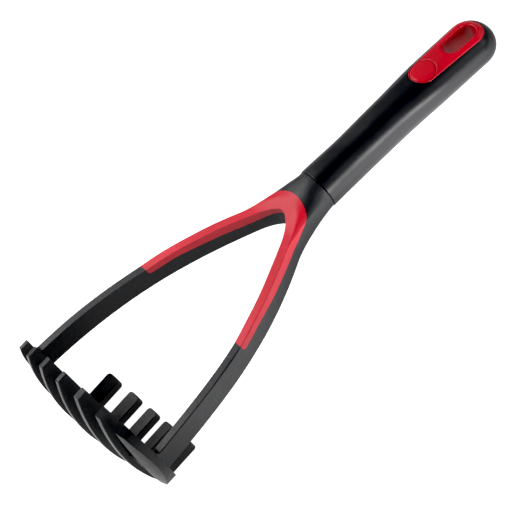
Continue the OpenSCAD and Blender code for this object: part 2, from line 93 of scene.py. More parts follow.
class NodeSheet:
    """Small helper that adds and joins shader nodes of one material."""

    def __init__(self, name: str) -> None:
        """Starts an empty material.

        Args:
            name: the material's name.
        """
        self.material = bpy.data.materials.new(name)
        self.material.use_nodes = True
        self.tree = self.material.node_tree
        self.tree.nodes.clear()
        self.out = self.add("ShaderNodeOutputMaterial")
        self.bsdf = self.add("ShaderNodeBsdfPrincipled")
        self.join(self.bsdf, "BSDF", self.out, "Surface")
        self.coords = self.add("ShaderNodeTexCoord")

    def add(self, kind: str, **values: object) -> bpy.types.Node:
        """Adds a node and sets its properties.

        Args:
            kind: the node's type.
            **values: properties of the node itself.

        Returns:
            The new node.
        """
        node = self.tree.nodes.new(kind)
        for key, value in values.items():
            setattr(node, key, value)
        return node

    def join(self, a: bpy.types.Node, out: str, b: bpy.types.Node, into: str | int) -> None:
        """Links an output socket to an input socket.

        Args:
            a: the node that gives.
            out: its output's name.
            b: the node that takes.
            into: its input's name or number.
        """
        self.tree.links.new(a.outputs[out], b.inputs[into])

    def noise(self, scale: float, detail: float = 3.0, rough: float = 0.55) -> bpy.types.Node:
        """Noise on the part's own coordinates.

        Args:
            scale: cells per metre.
            detail: octaves.
            rough: how strong the fine octaves are.

        Returns:
            The noise node.
        """
        node = self.add("ShaderNodeTexNoise")
        node.inputs["Scale"].default_value = scale
        node.inputs["Detail"].default_value = detail
        node.inputs["Roughness"].default_value = rough
        self.join(self.coords, "Object", node, "Vector")
        return node

    def ramp(
        self, source: bpy.types.Node, low: tuple, high: tuple, a: float, b: float,
    ) -> bpy.types.Node:
        """Colour ramp on a noise's factor.

        Args:
            source: the noise node.
            low: colour at the dark end.
            high: colour at the light end.
            a: place of the dark end.
            b: place of the light end.

        Returns:
            The ramp node.
        """
        node = self.add("ShaderNodeValToRGB")
        node.color_ramp.elements[0].position = a
        node.color_ramp.elements[0].color = (*low, 1.0)
        node.color_ramp.elements[1].position = b
        node.color_ramp.elements[1].color = (*high, 1.0)
        self.join(source, "Fac", node, "Fac")
        return node

    def remap(
        self, source: bpy.types.Node, out: str, reach: tuple[float, ...], kind: str = "LINEAR",
    ) -> bpy.types.Node:
        """Maps one range of values on another.

        Args:
            source: the node that gives the value.
            out: its output's name.
            reach: start and end of the first range, then of the second, or fewer of them.
            kind: how the values between the ends run.

        Returns:
            The map node.
        """
        node = self.add("ShaderNodeMapRange", interpolation_type=kind)
        for name, value in zip(("From Min", "From Max", "To Min", "To Max"), reach):
            node.inputs[name].default_value = value
        self.join(source, out, node, "Value")
        return node

    def bump(
        self, source: bpy.types.Node, strength: float, depth: float,
        below: bpy.types.Node | None = None,
    ) -> bpy.types.Node:
        """Bump from a noise.

        Args:
            source: the noise node.
            strength: how much of it shows.
            depth: height of the relief in metres.
            below: a bump that this one lies on.

        Returns:
            The bump node.
        """
        node = self.add("ShaderNodeBump")
        node.inputs["Strength"].default_value = strength
        node.inputs["Distance"].default_value = depth
        self.join(source, "Fac", node, "Height")
        if below is not None:
            self.join(below, "Normal", node, "Normal")
        return node


@dataclass(frozen=True)
class MouldedFinish:
    """A moulded plastic: colour with a slow drift, grain, and roughness that varies."""

    name: str
    dark: tuple[float, float, float]
    light: tuple[float, float, float]
    rough_low: float
    rough_high: float
    grain_scale: float
    grain_depth: float
    grain_strength: float
    specular: float
    wave_strength: float = 0.2
    wave_depth: float = 0.00003
    wave_scale: float = 150.0
    drift_scale: float = 38.0
    smear_scale: float = 210.0

    def build(self) -> bpy.types.Material:
        """Makes the material.

        Returns:
            The finished material.
        """
        sheet = NodeSheet(self.name)
        shader = sheet.bsdf
        drift = sheet.noise(self.drift_scale, 3.0)
        colour = sheet.ramp(drift, self.dark, self.light, 0.35, 0.68)
        sheet.join(colour, "Color", shader, "Base Color")
        smear = sheet.noise(self.smear_scale, 4.0, 0.6)
        rough = sheet.remap(smear, "Fac", (0.3, 0.7, self.rough_low, self.rough_high))
        sheet.join(rough, "Result", shader, "Roughness")
        wave = sheet.noise(self.wave_scale, 2.0)
        grain = sheet.noise(self.grain_scale, 3.0, 0.6)
        base = sheet.bump(wave, self.wave_strength, self.wave_depth)
        fine = sheet.bump(grain, self.grain_strength, self.grain_depth, base)
        sheet.join(fine, "Normal", shader, "Normal")
        shader.inputs["Specular IOR Level"].default_value = self.specular
        return sheet.material


FRAME_NYLON = MouldedFinish(
    name="frame nylon",
    dark=(0.0022, 0.0029, 0.0046),
    light=(0.0032, 0.0040, 0.0060),
    rough_low=0.37,
    rough_high=0.47,
    grain_scale=1000.0,
    grain_depth=0.00014,
    grain_strength=1.0,
    specular=0.33,
)
HANDLE_SHELL = MouldedFinish(
    name="handle shell",
    dark=(0.0012, 0.0016, 0.0032),
    light=(0.0016, 0.0021, 0.0040),
    rough_low=0.30,
    rough_high=0.34,
    grain_scale=1500.0,
    grain_depth=0.000004,
    grain_strength=0.06,
    specular=0.34,
    wave_strength=0.03,
)
SOFT_SKIN = MouldedFinish(
    name="soft red skin",
    dark=(0.42, 0.002, 0.015),
    light=(0.50, 0.004, 0.021),
    rough_low=0.38,
    rough_high=0.48,
    grain_scale=1400.0,
    grain_depth=0.00007,
    grain_strength=0.6,
    specular=0.30,
)
INSERT_RED = MouldedFinish(
    name="insert red",
    dark=(0.35, 0.001, 0.010),
    light=(0.42, 0.002, 0.014),
    rough_low=0.32,
    rough_high=0.42,
    grain_scale=2400.0,
    grain_depth=0.00002,
    grain_strength=0.18,
    specular=0.28,
)


# ---- pieces ---------------------------------------------------------------------


def finish_piece(obj: bpy.types.Object, material: bpy.types.Material) -> None:
    """Gives a piece its material and its body.

    Args:
        obj: the piece.
        material: its material.
    """
    obj.data.materials.clear()
    obj.data.materials.append(material)
    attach(obj, BODY)
    log.info("%s: %d faces", obj.name, len(obj.data.polygons))


def new_object(name: str, mesh_from: bmesh.types.BMesh) -> bpy.types.Object:
    """Makes a linked object of a bmesh, and frees the bmesh.

    Args:
        name: the object's name.
        mesh_from: the mesh to take.

    Returns:
        The new object, at the origin.
    """
    mesh = bpy.data.meshes.new(name)
    mesh_from.to_mesh(mesh)
    mesh_from.free()
    obj = bpy.data.objects.new(name, mesh)
    bpy.context.scene.collection.objects.link(obj)
    return obj


def smooth_by_angle(bm: bmesh.types.BMesh, degrees: float) -> None:
    """Shades faces smooth and keeps edges sharper than an angle crisp.

    Args:
        bm: the mesh.
        degrees: the angle.
    """
    limit = math.radians(degrees)
    for face in bm.faces:
        face.smooth = True
    for edge in bm.edges:
        edge.smooth = len(edge.link_faces) == 2 and edge.calc_face_angle(0.0) < limit


def weigh_normals(mesh: bpy.types.Mesh, degrees: float) -> None:
    """Lets large faces keep their own normals where they run into rounded edges.

    Args:
        mesh: the mesh.
        degrees: faces that meet at a larger angle don't share a normal.
    """
    limit = math.cos(math.radians(degrees))
    faces = [(face.normal.copy(), face.area) for face in mesh.polygons]
    around: list[list[int]] = [[] for _ in mesh.vertices]
    for face in mesh.polygons:
        for vertex in face.vertices:
            around[vertex].append(face.index)
    normals: list[Vector] = []
    for face in mesh.polygons:
        own = faces[face.index][0]
        for vertex in face.vertices:
            near = (faces[i] for i in around[vertex])
            alike = (normal * area for normal, area in near if normal.dot(own) > limit)
            total = sum(alike, Vector())
            normals.append(total.normalized() if total.length > 0.0 else own)
    mesh.normals_split_custom_set(normals)


def round_off(
    bm: bmesh.types.BMesh, edges: list[bmesh.types.BMEdge], radius: float, segments: int,
) -> None:
    """Rounds edges.

    Args:
        bm: the mesh.
        edges: the edges to round.
        radius: how far the rounding reaches from an edge.
        segments: facets across the rounding.
    """
    if edges:
        bmesh.ops.bevel(
            bm, geom=edges, offset=radius, offset_type="OFFSET", segments=segments,
            profile=0.5, affect="EDGES", material=-1, clamp_overlap=True,
        )


def ease(low: float, high: float, value: float) -> float:
    """A soft step.

    Args:
        low: where it starts.
        high: where it ends.
        value: the place.

    Returns:
        0 below the start, 1 above the end.
    """
    share = min(1.0, max(0.0, (value - low) / (high - low)))
    return share * share * (3.0 - 2.0 * share)


@dataclass(frozen=True)
class ArmCrown:
    """The arms' slight forward crown, and the line where the soft skin ends on their flanks.

    Each pair says between which millimetres of the upright frame a move sets in or fades.
    """

    crown: float = 1.1
    crown_in: tuple[float, float] = (62.0, 82.0)
    crown_out: tuple[float, float] = (104.0, 126.0)
    line: float = 1.3
    line_in: tuple[float, float] = (68.0, 86.0)
    line_out: tuple[float, float] = (124.0, 142.0)
    line_below: tuple[float, float] = (1.9, 4.0)
    back_out: tuple[float, float] = (8.5, 12.5)
    top: float = 2.2
    top_in: tuple[float, float] = (131.0, 143.0)
    top_out: tuple[float, float] = (144.5, 153.0)

    def moved(self, spot: Vector) -> Vector:
        """Where a point of the arms or the neck goes.

        Args:
            spot: the point, in metres.

        Returns:
            Its new place.
        """
        p = LIFTED @ spot
        crown = self.crown * ease(*self.crown_in, p.z) * (1.0 - ease(*self.crown_out, p.z))
        line = self.line * ease(*self.line_in, p.z) * (1.0 - ease(*self.line_out, p.z))
        forward = (crown + line * ease(*self.line_below, p.y)) * (1.0 - ease(*self.back_out, p.y))
        rise = self.top * ease(*self.top_in, p.z) * (1.0 - ease(*self.top_out, p.z))
        return LAID @ Vector((p.x, p.y - forward, p.z + rise))


@dataclass
class MouldedSolid:
    """A solid of the frame, taken over with its edges rounded as a moulding's are.

    Lengths are in metres and angles in degrees.
    """

    node: str
    finish: bpy.types.Material
    slot: Slot
    edge: float = 0.0005
    joints: tuple[tuple[Vector, Vector], ...] = field(default_factory=tuple)
    sharp: float = 28.0
    fork_edge: float = 0.0
    fork_low: float = -1.0
    crown: ArmCrown | None = None
    flat_faces: bool = True
    merge: float = 0.000004
    on_plane: float = 0.00006
    on_middle: float = 0.0005
    flat: float = 0.6
    crisp: float = 32.0
    weigh: float = 40.0

    def at_joint(self, edge: bmesh.types.BMEdge) -> bool:
        """Says whether an edge lies in a plane where the moulding runs on.

        Args:
            edge: the edge.

        Returns:
            True if it isn't to be rounded.
        """
        return any(
            all(abs((v.co - point).dot(normal)) < self.on_plane for v in edge.verts)
            for point, normal in self.joints
        )

    def at_fork(self, edge: bmesh.types.BMEdge) -> bool:
        """Says whether an edge lies between the front and the inner side of the fork.

        Args:
            edge: the edge.

        Returns:
            True if it gets the wider rounding.
        """
        if len(edge.link_faces) != 2 or not edge.is_convex:
            return False
        faces_front, faces_side, faces_head = 0.6, 0.4, 0.8
        up, side = sorted((face.normal for face in edge.link_faces), key=lambda n: -n.z)
        middle = (edge.verts[0].co + edge.verts[1].co) / 2.0
        if up.z <= faces_front or abs(side.z) >= faces_side or middle.y <= self.fork_low:
            return False
        # the inner side looks to the middle plane, or to the head in the fork's crotch
        return side.x * middle.x < self.on_middle * abs(side.x) or side.y < -faces_head

    def build(self, nodes: dict[str, bpy.types.Object]) -> bpy.types.Object:
        """Copies the solid, merges its loose triangles and rounds its edges.

        Args:
            nodes: the CAD nodes by name.

        Returns:
            The piece.
        """
        bm = bmesh.new()
        bm.from_mesh(nodes[self.node].data)
        bmesh.ops.remove_doubles(bm, verts=bm.verts, dist=self.merge)
        bmesh.ops.dissolve_limit(
            bm, angle_limit=math.radians(self.flat), verts=bm.verts, edges=bm.edges,
        )
        if self.fork_edge > 0.0:
            round_off(bm, [e for e in bm.edges if self.at_fork(e)], self.fork_edge, 5)
        limit = math.radians(self.sharp)
        sharp = [
            e for e in bm.edges
            if len(e.link_faces) == 2 and e.calc_face_angle(0.0) > limit and not self.at_joint(e)
        ]
        round_off(bm, sharp, self.edge, 3)
        if self.crown is not None:
            for vert in bm.verts:
                vert.co = self.crown.moved(vert.co)
        smooth_by_angle(bm, self.crisp)
        piece = new_object(self.node + "_moulded", bm)
        if self.flat_faces:
            weigh_normals(piece.data, self.weigh)
        finish_piece(piece, self.finish)
        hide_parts(self.node)
        return piece


def plane_at(z: float) -> tuple[Vector, Vector]:
    """A plane square to the upright frame's z axis.

    Args:
        z: its height in millimetres.

    Returns:
        A point of it in metres, and its normal.
    """
    return LAID @ Vector((0.0, 0.0, z)), UP


@dataclass
class Head:
    """Slats, cross ribs and teeth of the oval head."""

    finish: bpy.types.Material
    slats: tuple[str, ...] = tuple(f"slat_{i}" for i in range(1, 8))
    ribs: tuple[str, ...] = tuple(f"cross_rib_{i}" for i in range(1, 7))
    teeth: tuple[str, ...] = tuple(f"tooth_{i}" for i in range(1, 6))

    def build(self, nodes: dict[str, bpy.types.Object]) -> None:
        """Builds every piece of the head.

        Args:
            nodes: the CAD nodes by name.
        """
        for name in self.slats:
            MouldedSolid(name, self.finish, Slot.FRAME).build(nodes)
        for name in self.teeth:
            MouldedSolid(name, self.finish, Slot.FRAME, joints=(plane_at(0.0),)).build(nodes)
        for name in self.ribs:
            nodes[name].data.materials.clear()
            nodes[name].data.materials.append(self.finish)


@dataclass
class Wishbone:
    """The two arms and the neck, and the soft skin on them."""

    finish: bpy.types.Material
    skin: bpy.types.Material
    split_z: float = 124.0
    skin_low: float = -0.071
    sharp: float = 50.0
    skin_sharp: float = 60.0

    def build(self, nodes: dict[str, bpy.types.Object]) -> None:
        """Builds the arms, the neck and the skin.

        Args:
            nodes: the CAD nodes by name.
        """
        foot, split = plane_at(0.0), plane_at(self.split_z)
        crown = ArmCrown()
        for name in ("arm_left", "arm_right"):
            MouldedSolid(
                name, self.finish, Slot.FRAME, edge=0.0003, joints=(foot, split),
                sharp=self.sharp, fork_edge=0.0006, crown=crown,
            ).build(nodes)
        MouldedSolid(
            "neck", self.finish, Slot.FRAME, edge=0.0003, joints=(split,),
            sharp=self.sharp, crown=crown, flat_faces=False,
        ).build(nodes)
        MouldedSolid(
            "overmould", self.skin, Slot.SKIN, edge=0.0002, sharp=self.skin_sharp,
            fork_edge=0.0009, fork_low=self.skin_low, crown=crown,
        ).build(nodes)


@dataclass(frozen=True)
class HandleForm:
    """The handle's curved axis and its oval section, in the masher's upright frame.

    The axis is a Bezier curve of (y, z) points. Places along it are shares t from 0 to 1.
    """

    axis: tuple[tuple[float, float], ...] = (
        (10.6, 154.5),
        (10.6 + 35.0 * math.tan(math.radians(HANDLE_LEAN)), 189.5),
        (20.6, 241.7),
        (25.9, 276.7),
    )
    neck_radii: tuple[float, float] = (12.0, 11.6)
    grip_radii: tuple[float, float] = (13.2, 11.1)
    widens: tuple[float, float] = (0.42, 0.68)
    cap_length: float = 15.6
    cap_share: float = 0.93
    waist_end: float = 0.42
    waist_back: float = 0.55
    waist_slim: float = 0.5
    swells: tuple[float, float] = (0.36, 0.64)
    grip_front: float = 0.68
    grip_wide: float = 0.6

    @property
    def cap_start(self) -> float:
        """Where the rounded end starts, as a share of the axis."""
        return 1.0 - self.cap_length / (self.axis[3][1] - self.axis[0][1]) * self.cap_share

    def shares(self, t: float) -> tuple[float, float]:
        """How much of the waist and of the grip's swell a place has.

        Args:
            t: share of the axis.

        Returns:
            Both shares, from 0 to 1.
        """
        inside = 0.0 < t < self.waist_end
        waist = math.sin(math.pi * t / self.waist_end) ** 2 if inside else 0.0
        return waist, ease(*self.swells, t)

    def centre(self, t: float) -> Vector:
        """A point of the axis.

        Args:
            t: share of the axis, 0 at the collar.

        Returns:
            Its (y, z).
        """
        s = 1.0 - t
        weights = (s * s * s, 3 * s * s * t, 3 * s * t * t, t * t * t)
        y, z = (sum(w * p[i] for w, p in zip(weights, self.axis)) for i in range(2))
        waist, grip = self.shares(t)
        return Vector((y + waist * self.waist_back - grip * self.grip_front, z))

    def along(self, t: float) -> Vector:
        """The axis's direction.

        Args:
            t: share of the axis.

        Returns:
            A unit (y, z).
        """
        low, high = max(0.0, t - 0.0005), min(1.0, t + 0.0005)
        return (self.centre(high) - self.centre(low)).normalized()

    def radii(self, t: float) -> tuple[float, float]:
        """Half width and half thickness.

        Args:
            t: share of the axis.

        Returns:
            Both, in millimetres.
        """
        share = ease(*self.widens, t)
        past = max(0.0, (t - self.cap_start) / (1.0 - self.cap_start))
        cap = math.sqrt(max(0.0, 1.0 - past * past))
        waist, grip = self.shares(t)
        rx, ry = (a + (b - a) * share for a, b in zip(self.neck_radii, self.grip_radii))
        rx += grip * self.grip_wide - waist * self.waist_slim
        return rx * cap, ry * cap

    def point(self, t: float, x: float, v: float) -> Vector:
        """A point beside the axis.

        Args:
            t: share of the axis.
            x: millimetres across.
            v: millimetres to the back, square to the axis.

        Returns:
            The point in the upright frame.
        """
        c, d = self.centre(t), self.along(t)
        return Vector((x, c.x + v * d.y, c.y - v * d.x))

    def ring(self, t: float, sides: int, inset: float = 0.0) -> list[Vector]:
        """A ring of points round the axis.

        Args:
            t: share of the axis.
            sides: how many points.
            inset: how far inside the skin.

        Returns:
            The points in order.
        """
        rx, ry = (radius - inset for radius in self.radii(t))
        turns = (math.tau * i / sides for i in range(sides))
        return [self.point(t, rx * math.cos(a), ry * math.sin(a)) for a in turns]

    def normal(self, spot: Vector) -> Vector:
        """The skin's normal near a point of it.

        Args:
            spot: a point on the skin.

        Returns:
            The outward unit normal.
        """
        # find the place on the axis beside the point, step by step
        t = 0.5
        for _ in range(6):
            c, d = self.centre(t), self.along(t)
            off = (spot.y - c.x) * d.x + (spot.z - c.y) * d.y
            t = min(1.0, max(0.0, t + off / AXIS_LENGTH))
        c, d = self.centre(t), self.along(t)
        v = (spot.y - c.x) * d.y - (spot.z - c.y) * d.x
        # the section's own normal, tipped by how fast the section widens
        step, last, least = 0.0015, 0.9995, 0.3
        a = self.radii(max(0.0, t - step))
        b = self.radii(min(last, t + step))
        here = self.radii(min(last, t))
        run = AXIS_LENGTH * (min(last, t + step) - max(0.0, t - step))
        rx, ry = max(here[0], least), max(here[1], least)
        slope = spot.x**2 * (b[0] - a[0]) / run / rx**3 + v * v * (b[1] - a[1]) / run / ry**3
        nx, nv = spot.x / rx**2, v / ry**2
        return Vector((nx, nv * d.y - slope * d.x, -nv * d.x - slope * d.y)).normalized()


class RingShell:
    """A shell that grows ring by ring: each ring is extruded from the last one and moved."""

    def __init__(self, bm: bmesh.types.BMesh, points: list[Vector]) -> None:
        """Starts with one ring.

        Args:
            bm: the mesh to add to.
            points: the ring's points in order.
        """
        self.bm = bm
        made = bmesh.ops.create_circle(bm, cap_ends=False, segments=len(points), radius=1.0)
        self.ring: list[bmesh.types.BMVert] = list(made["verts"])
        self.place(points)

    def place(self, points: list[Vector]) -> None:
        """Moves the open ring.

        Args:
            points: its new points.
        """
        for vert, point in zip(self.ring, points):
            vert.co = point

    def edges(self) -> list[bmesh.types.BMEdge]:
        """The open ring's edges."""
        pairs = zip(self.ring, self.ring[1:] + self.ring[:1])
        return [self.bm.edges.get(pair) for pair in pairs]

    def grow(self, points: list[Vector]) -> list[bmesh.types.BMVert]:
        """Extrudes the open ring to new points.

        Args:
            points: the new ring's points.

        Returns:
            The new ring.
        """
        made = bmesh.ops.extrude_edge_only(self.bm, edges=self.edges())
        fresh = {v for v in made["geom"] if isinstance(v, bmesh.types.BMVert)}
        self.ring = [
            next(e.other_vert(v) for e in v.link_edges if e.other_vert(v) in fresh)
            for v in self.ring
        ]
        self.place(points)
        return self.ring

    def pinch(self, spot: Vector) -> None:
        """Draws the open ring together in a point.

        Args:
            spot: the point.
        """
        self.grow([spot] * len(self.ring))
        bmesh.ops.pointmerge(self.bm, verts=self.ring, merge_co=spot)


def bar_loop(r_low: float, u_low: float, r_high: float, u_high: float, count: int) -> list[Vector]:
    """Points, evenly spaced, on the outline round two circles.

    Args:
        r_low: lower circle's radius.
        u_low: its centre's height.
        r_high: upper circle's radius.
        u_high: its centre's height.
        count: how many points.

    Returns:
        Points (x, u, 0) in order.
    """
    fine = 120
    p = math.asin((r_high - r_low) / (u_high - u_low)) if u_high > u_low else 0.0
    dense: list[Vector] = []
    for r, u, start, turn in (
        (r_high, u_high, -p, math.pi + 2 * p),
        (r_low, u_low, math.pi + p, math.pi - 2 * p),
    ):
        for i in range(fine + 1):
            w = start + turn * i / fine
            dense.append(Vector((r * math.cos(w), u + r * math.sin(w), 0.0)))
    dense.append(dense[0].copy())
    lengths = [(b - a).length for a, b in zip(dense, dense[1:])]
    step = sum(lengths) / count
    points: list[Vector] = []
    run, i = 0.0, 0
    for k in range(count):
        while run + lengths[i] < k * step:
            run += lengths[i]
            i += 1
        share = (k * step - run) / lengths[i] if lengths[i] > 0.0 else 0.0
        points.append(dense[i].lerp(dense[i + 1], share))
    return points


@dataclass(frozen=True)
class InsertFrame:
    """Where the insert sits: its own frame square to the handle's axis."""

    form: HandleForm
    t: float = 0.79
    from_end: float = 3.6
    radius: float = 7.8
    radius_top: float = 9.0
    length: float = 47.8
    depth: float = 4.0
    slot_width: float = 10.6
    slot_length: float = 20.6
    slot_drop: float = 4.0
    wall: float = 1.7
    disc_radius: float = 7.2

    @property
    def way(self) -> Vector:
        """Direction along the insert as (y, z)."""
        return self.form.along(self.t)

    @property
    def top(self) -> float:
        """Height of the insert's upper end in its frame."""
        end = self.form.axis[3][1] - self.form.centre(self.t).y
        return end / self.way.y - self.from_end

    @property
    def disc_up(self) -> float:
        """Height of the disc's centre."""
        return self.top - self.length + self.radius

    @property
    def slot_up(self) -> float:
        """Height of the slot's middle."""
        return self.top - self.slot_drop - self.slot_length / 2

    def upright(self, x: float, y: float, u: float) -> Vector:
        """A point of the insert's frame in the upright frame.

        Args:
            x: across.
            y: to the back.
            u: up along the insert.

        Returns:
            The point.
        """
        c, d = self.form.centre(self.t), self.way
        return Vector((x, c.x + y * d.y + u * d.x, c.y - y * d.x + u * d.y))

    def skin(self, x: float, u: float, side: float) -> float:
        """How far to the back the handle's skin lies.

        Args:
            x: across.
            u: up along the insert.
            side: -1 for the front, 1 for the back.

        Returns:
            The distance in the insert's frame.
        """
        c0, d0 = self.form.centre(self.t), self.way
        # halve the stretch of the axis that holds the point
        low, high = 0.45, 1.0
        y = 0.0
        for _ in range(34):
            t = (low + high) / 2
            rx, ry = self.form.radii(t)
            if rx <= abs(x):
                high = t
                continue
            p = self.form.point(t, x, side * ry * math.sqrt(1.0 - (x / rx) ** 2))
            y = (p.y - c0.x) * d0.y - (p.z - c0.y) * d0.x
            if (p.y - c0.x) * d0.x + (p.z - c0.y) * d0.y < u:
                low = t
            else:
                high = t
        return y

    def outline(self, inset: float, count: int) -> list[Vector]:
        """The insert's outline.

        Args:
            inset: how far inside it.
            count: how many points.

        Returns:
            Points (x, u, 0).
        """
        low, high = self.radius - inset, self.radius_top - inset
        return bar_loop(low, self.disc_up, high, self.top - self.radius_top, count)

    def slot_loop(self, outset: float, count: int) -> list[Vector]:
        """The slot's outline.

        Args:
            outset: how far outside it.
            count: how many points.

        Returns:
            Points (x, u, 0).
        """
        half = (self.slot_length - self.slot_width) / 2
        r = self.slot_width / 2 + outset
        return bar_loop(r, self.slot_up - half, r, self.slot_up + half, count)


@dataclass
class HandleShell:
    """The glossy handle: one lofted oval tube with the tang's hole and the insert's seat."""

    finish: bpy.types.Material
    seat: InsertFrame
    gap: float = 0.12
    collar_gap: float = 0.3
    rim: float = 0.45
    sides: int = 128
    body_rings: int = 72
    cap_rings: int = 26
    seat_sides: int = 128
    slot_sides: int = 96
    slot_cut: tuple[float, float] = (-22.0, 20.0)
    seat_cut: float = -20.0
    tang_hole: tuple[float, float, float] = (13.3, 9.3, 60.0)
    tang_up: float = 28.15
    alike: float = 0.9

    def blank(self) -> bpy.types.Object:
        """The outer skin as a closed form.

        Returns:
            The form, in the upright frame.
        """
        form = self.seat.form
        bm = bmesh.new()
        start = self.collar_gap / AXIS_LENGTH
        shell = RingShell(bm, form.ring(start, self.sides, self.rim))
        # the rim, from the end face round to the side
        t0 = start
        for a in map(math.radians, (22, 45, 67, 90)):
            t0 = start + self.rim * (1 - math.cos(a)) / AXIS_LENGTH
            shell.grow(form.ring(t0, self.sides, self.rim * (1 - math.sin(a))))
        for i in range(1, self.body_rings + 1):
            t = t0 + (form.cap_start - t0) * i / self.body_rings
            shell.grow(form.ring(t, self.sides))
        for i in range(1, self.cap_rings):
            reach = math.sin(math.pi / 2 * i / self.cap_rings)
            shell.grow(form.ring(form.cap_start + (1.0 - form.cap_start) * reach, self.sides))
        tip = form.centre(1.0)
        shell.pinch(Vector((0.0, tip.x, tip.y)))
        ends = [e for e in bm.edges if len(e.link_faces) == 1]
        bmesh.ops.contextual_create(bm, geom=ends)
        bmesh.ops.recalc_face_normals(bm, faces=bm.faces)
        return new_object("handle_blank", bm)

    def cutters(self) -> list[bpy.types.Object]:
        """What is taken out of the handle.

        Returns:
            Closed forms in the upright frame.
        """
        seat = self.seat
        made: list[bpy.types.Object] = []
        floor = -seat.form.grip_radii[1] + seat.depth
        for name, loop, y1, y2 in (
            ("seat", seat.outline(-self.gap, self.seat_sides), self.seat_cut, floor),
            ("slot", seat.slot_loop(seat.wall + self.gap, self.slot_sides), *self.slot_cut),
        ):
            bm = bmesh.new()
            shell = RingShell(bm, [seat.upright(p.x, y1, p.y) for p in loop])
            bmesh.ops.contextual_create(bm, geom=shell.edges())
            shell.grow([seat.upright(p.x, y2, p.y) for p in loop])
            bmesh.ops.contextual_create(bm, geom=shell.edges())
            bmesh.ops.recalc_face_normals(bm, faces=bm.faces)
            made.append(new_object("handle_cut_" + name, bm))
        bm = bmesh.new()
        c = seat.form.centre(0.0)
        lean = Matrix.Rotation(-math.radians(HANDLE_LEAN), 3, "X")
        bmesh.ops.create_cube(bm, size=1.0)
        bmesh.ops.scale(bm, vec=self.tang_hole, verts=bm.verts)
        bmesh.ops.translate(bm, vec=(0.0, 0.0, self.tang_up), verts=bm.verts)
        bmesh.ops.rotate(bm, cent=(0, 0, 0), matrix=lean, verts=bm.verts)
        bmesh.ops.translate(bm, vec=(0.0, c.x, c.y), verts=bm.verts)
        made.append(new_object("handle_cut_tang", bm))
        return made

    def build(self) -> bpy.types.Object:
        """Builds and dresses the handle.

        Returns:
            The handle.
        """
        blank = self.blank()
        cutters = self.cutters()
        for cutter in cutters:
            cut = blank.modifiers.new("cut", "BOOLEAN")
            cut.operation = "DIFFERENCE"
            cut.solver = "EXACT"
            cut.object = cutter
        depsgraph = bpy.context.evaluated_depsgraph_get()
        mesh = bpy.data.meshes.new_from_object(blank.evaluated_get(depsgraph))
        for obj in (blank, *cutters):
            bpy.data.objects.remove(obj)
        # the outer skin takes the form's own normals, all else stays flat
        form = self.seat.form
        normals: list[Vector] = []
        turn = LAID.to_3x3() * (1.0 / MM)
        start = self.collar_gap / AXIS_LENGTH
        c, d = form.centre(start), form.along(start)
        for polygon in mesh.polygons:
            polygon.use_smooth = True
            for vertex in polygon.vertices:
                spot = mesh.vertices[vertex].co
                smooth = form.normal(spot)
                low = (spot.y - c.x) * d.x + (spot.z - c.y) * d.y
                outer = smooth.dot(polygon.normal) > self.alike and low > self.rim
                normals.append(turn @ (smooth if outer else polygon.normal))
        mesh.transform(LAID)
        mesh.normals_split_custom_set(normals)
        piece = bpy.data.objects.new("handle_shell_moulded", mesh)
        bpy.context.scene.collection.objects.link(piece)
        finish_piece(piece, self.finish)
        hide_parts("handle_shell")
        return piece


